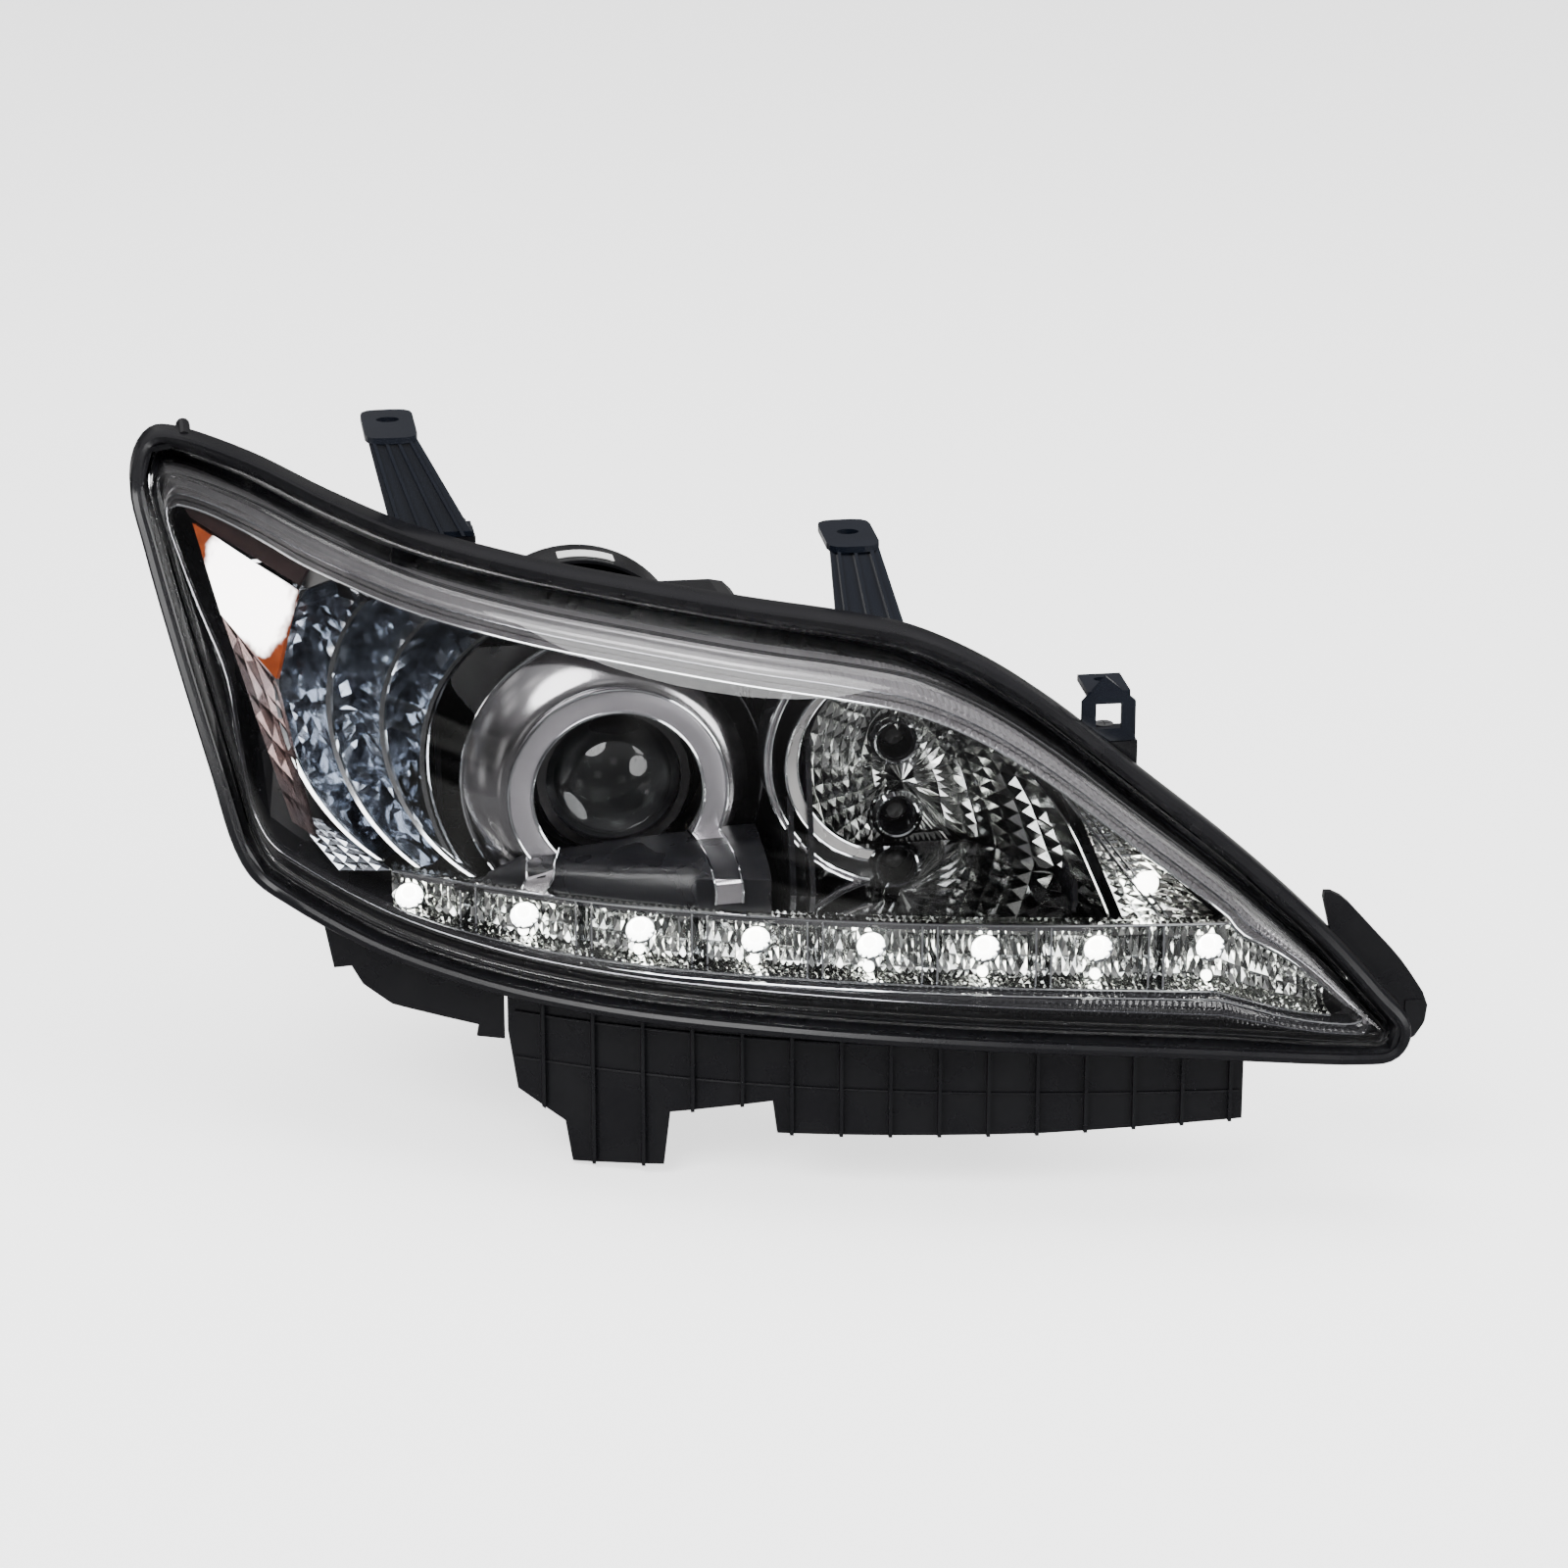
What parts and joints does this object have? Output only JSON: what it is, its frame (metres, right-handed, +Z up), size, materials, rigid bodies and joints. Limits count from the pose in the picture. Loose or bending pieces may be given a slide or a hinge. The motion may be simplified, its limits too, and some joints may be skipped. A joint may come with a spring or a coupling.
{
  "type": "car headlight assembly",
  "caption": "Right-hand projector headlight for a saloon car: swept clear lens, LED strip, tilting projector, bulb sockets, rear cap and mounting brackets.",
  "frame": {"origin": "seat under the head of the inner upper bracket, between its arm and its slot", "axes": "+X runs inboard towards the grille, +Y to the rear of the car, +Z up"},
  "size_m": [0.5768, 0.3423, 0.3165],
  "materials": {
    "housing_plastic": "moulded, low sheen",
    "bracket_plastic": "moulded, satin",
    "clear_lens": "clear, polished",
    "bright_trim": "vacuum-metallised, mirror bright",
    "smoked_trim": "vacuum-metallised, smoked",
    "gloss_black": "polished black",
    "amber_plastic": "transparent amber",
    "lamp_glass": "clear, polished",
    "rubber": "matt",
    "steel": "zinc plated",
    "nylon": "natural, moulded",
    "aluminium": "die cast",
    "circuit_board": "white solder mask",
    "label": "blank paper"
  },
  "bodies": {
    "lamp_body": {"housing": "housing_plastic", "outer_lens": "clear_lens", "lens_seal": "rubber", "bezel": "smoked_trim", "lower_shelf": "gloss_black", "projector_shroud": "smoked_trim", "trim_ring": "bright_trim", "side_steps": "bright_trim", "bulb_chamber": "bright_trim", "side_reflector": "amber_plastic", "marker_trim": "bright_trim", "marker_bowl": "bright_trim", "led_trough": "bright_trim", "led_board": "circuit_board", "tip_trim": "bright_trim", "tip_led": "circuit_board", "outer_upper_bracket": "bracket_plastic", "inner_upper_bracket": "bracket_plastic", "side_bracket": "bracket_plastic", "bracket_screw_1": "steel", "bracket_screw_2": "steel", "bracket_screw_3": "steel", "bracket_screw_4": "steel", "bracket_screw_5": "steel", "bumper_bracket": "housing_plastic", "fender_bracket": "housing_plastic", "pivot_ball_outboard": "steel", "pivot_ball_inboard": "steel", "aim_bush": "nylon", "vent_cap_1": "rubber", "vent_cap_2": "rubber", "connector_inlet": "housing_plastic", "led_driver": "aluminium"},
    "projector": {"projector_lens": "lamp_glass", "lens_holder": "aluminium", "cutoff_shield": "steel", "projector_bowl": "aluminium", "carrier_plate": "steel", "pivot_socket_outboard": "nylon", "pivot_socket_inboard": "nylon", "adjuster_nut": "nylon", "low_beam_bulb": "lamp_glass", "low_beam_bulb_base": "steel", "clip_bracket": "steel"},
    "bulb_clip": {"bulb_clip": "steel"},
    "aim_screw": {"aim_screw": "nylon"},
    "low_beam_cap": {"low_beam_cap": "housing_plastic", "cap_seal": "rubber", "cap_label": "label"},
    "high_beam_socket": {"high_beam_holder": "housing_plastic", "high_beam_bulb": "lamp_glass", "high_beam_seal": "rubber"},
    "turn_signal_socket": {"turn_signal_holder": "housing_plastic", "turn_signal_bulb": "amber_plastic", "turn_signal_seal": "rubber"},
    "side_marker_socket": {"side_marker_holder": "housing_plastic", "side_marker_bulb": "lamp_glass"}
  },
  "joints": [
    {"name": "beam_tilt", "type": "hinge", "parent": "lamp_body", "child": "projector", "pos_m": [-0.118, 0.031, -0.0595], "axis": [1, 0, 0], "range_deg": [-2.5, 2.5]},
    {"name": "aim_screw_turn", "type": "hinge", "parent": "lamp_body", "child": "aim_screw", "pos_m": [-0.072, 0.123, -0.1455], "axis": [0, 1, 0], "range_deg": [-905, 905]},
    {"name": "bulb_clip_swing", "type": "hinge", "parent": "projector", "child": "bulb_clip", "pos_m": [-0.118, 0.0555, -0.0805], "axis": [1, 0, 0], "range_deg": [0, 70]},
    {"name": "low_beam_cap_turn", "type": "hinge", "parent": "lamp_body", "child": "low_beam_cap", "pos_m": [-0.118, 0.1495, -0.0955], "axis": [0, 1, 0], "range_deg": [0, 30]},
    {"name": "high_beam_socket_turn", "type": "hinge", "parent": "lamp_body", "child": "high_beam_socket", "pos_m": [0.018, 0.021, -0.0905], "axis": [0, 1, 0], "range_deg": [0, 45]},
    {"name": "turn_signal_socket_turn", "type": "hinge", "parent": "lamp_body", "child": "turn_signal_socket", "pos_m": [0.019, 0.021, -0.128], "axis": [0, 1, 0], "range_deg": [0, 45]},
    {"name": "side_marker_socket_turn", "type": "hinge", "parent": "lamp_body", "child": "side_marker_socket", "pos_m": [-0.275, 0.133, -0.0345], "axis": [0, 1, 0], "range_deg": [0, 45]}
  ],
  "couplings": [
    {"joint": "aim_screw_turn", "follows": "beam_tilt", "ratio": 360}
  ]
}
